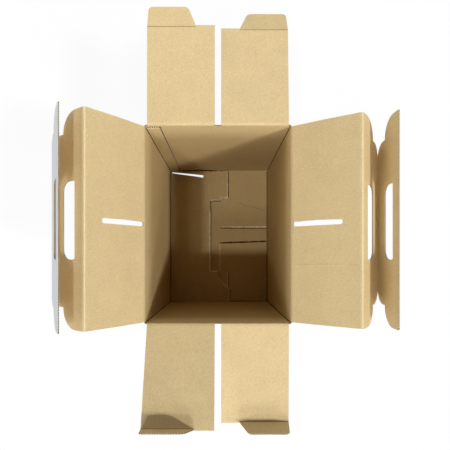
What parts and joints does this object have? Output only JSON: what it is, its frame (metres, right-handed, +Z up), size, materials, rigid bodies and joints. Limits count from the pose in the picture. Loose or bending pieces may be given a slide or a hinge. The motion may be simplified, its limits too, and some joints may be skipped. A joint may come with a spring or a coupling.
{
  "type": "bottle shipping box",
  "caption": "Tall open carton of single-wall board for bottles, with a carrying handle folded from its long flaps and half flaps that lock with tuck tabs.",
  "frame": {"origin": "centre of the underside of the box", "axes": "+Z up; +Y north along the long side, the half flaps are on the north and south walls; +X east, the long flaps with the handle are on the west and east walls"},
  "size_m": [0.4497, 0.5977, 0.4199],
  "materials": {
    "board": "matt kraft liner inside, white liner outside"
  },
  "bodies": {
    "carton": {"carton_body": "board"},
    "west_long_flap": {"west_long_flap": "board"},
    "west_handle_front": {"west_handle_front": "board"},
    "west_handle_back": {"west_handle_back": "board"},
    "east_long_flap": {"east_long_flap": "board"},
    "east_handle_front": {"east_handle_front": "board"},
    "east_handle_back": {"east_handle_back": "board"},
    "north_west_half_flap": {"north_west_half_flap": "board"},
    "north_west_tuck_tab": {"north_west_tuck_tab": "board"},
    "north_east_half_flap": {"north_east_half_flap": "board"},
    "north_east_tuck_tab": {"north_east_tuck_tab": "board"},
    "south_west_half_flap": {"south_west_half_flap": "board"},
    "south_west_tuck_tab": {"south_west_tuck_tab": "board"},
    "south_east_half_flap": {"south_east_half_flap": "board"},
    "south_east_tuck_tab": {"south_east_tuck_tab": "board"}
  },
  "joints": [
    {"name": "west_flap_fold", "type": "hinge", "parent": "carton", "child": "west_long_flap", "pos_m": [-0.1051, 0, 0.318], "axis": [0, 1, 0], "range_deg": [-104, 126]},
    {"name": "west_handle_base_fold", "type": "hinge", "parent": "west_long_flap", "child": "west_handle_front", "pos_m": [-0.16476, 0, 0.40011], "axis": [0, -1, 0], "range_deg": [-92, 3]},
    {"name": "west_handle_top_fold", "type": "hinge", "parent": "west_handle_front", "child": "west_handle_back", "pos_m": [-0.219, 0, 0.3599], "axis": [0, 1, 0], "range_deg": [-155, 25]},
    {"name": "east_flap_fold", "type": "hinge", "parent": "carton", "child": "east_long_flap", "pos_m": [0.1051, 0, 0.318], "axis": [0, -1, 0], "range_deg": [-87, 143]},
    {"name": "east_handle_base_fold", "type": "hinge", "parent": "east_long_flap", "child": "east_handle_front", "pos_m": [0.18616, 0, 0.37908], "axis": [0, 1, 0], "range_deg": [-93, 2]},
    {"name": "east_handle_top_fold", "type": "hinge", "parent": "east_handle_front", "child": "east_handle_back", "pos_m": [0.22532, 0, 0.32408], "axis": [0, -1, 0], "range_deg": [-144, 36]},
    {"name": "north_west_flap_fold", "type": "hinge", "parent": "carton", "child": "north_west_half_flap", "pos_m": [-0.05255, 0.1416, 0.3198], "axis": [1, 0, 0], "range_deg": [-74.5, 180.5]},
    {"name": "north_west_tab_fold", "type": "hinge", "parent": "north_west_half_flap", "child": "north_west_tuck_tab", "pos_m": [-0.05255, 0.28071, 0.32019], "axis": [1, 0, 0], "range_deg": [-20.5, 89.5]},
    {"name": "north_east_flap_fold", "type": "hinge", "parent": "carton", "child": "north_east_half_flap", "pos_m": [0.05255, 0.1416, 0.3198], "axis": [1, 0, 0], "range_deg": [-71, 184]},
    {"name": "north_east_tab_fold", "type": "hinge", "parent": "north_east_half_flap", "child": "north_east_tuck_tab", "pos_m": [0.05255, 0.28047, 0.31169], "axis": [1, 0, 0], "range_deg": [-8, 102]},
    {"name": "south_west_flap_fold", "type": "hinge", "parent": "carton", "child": "south_west_half_flap", "pos_m": [-0.05255, -0.1416, 0.3198], "axis": [-1, 0, 0], "range_deg": [-96, 159]},
    {"name": "south_west_tab_fold", "type": "hinge", "parent": "south_west_half_flap", "child": "south_west_tuck_tab", "pos_m": [-0.05255, -0.27089, 0.37114], "axis": [-1, 0, 0], "range_deg": [-100, 10]},
    {"name": "south_east_flap_fold", "type": "hinge", "parent": "carton", "child": "south_east_half_flap", "pos_m": [0.05255, -0.1416, 0.3198], "axis": [-1, 0, 0], "range_deg": [-73.6, 181.4]},
    {"name": "south_east_tab_fold", "type": "hinge", "parent": "south_east_half_flap", "child": "south_east_tuck_tab", "pos_m": [0.05255, -0.2807, 0.318], "axis": [-1, 0, 0], "range_deg": [-97.4, 12.6]}
  ]
}
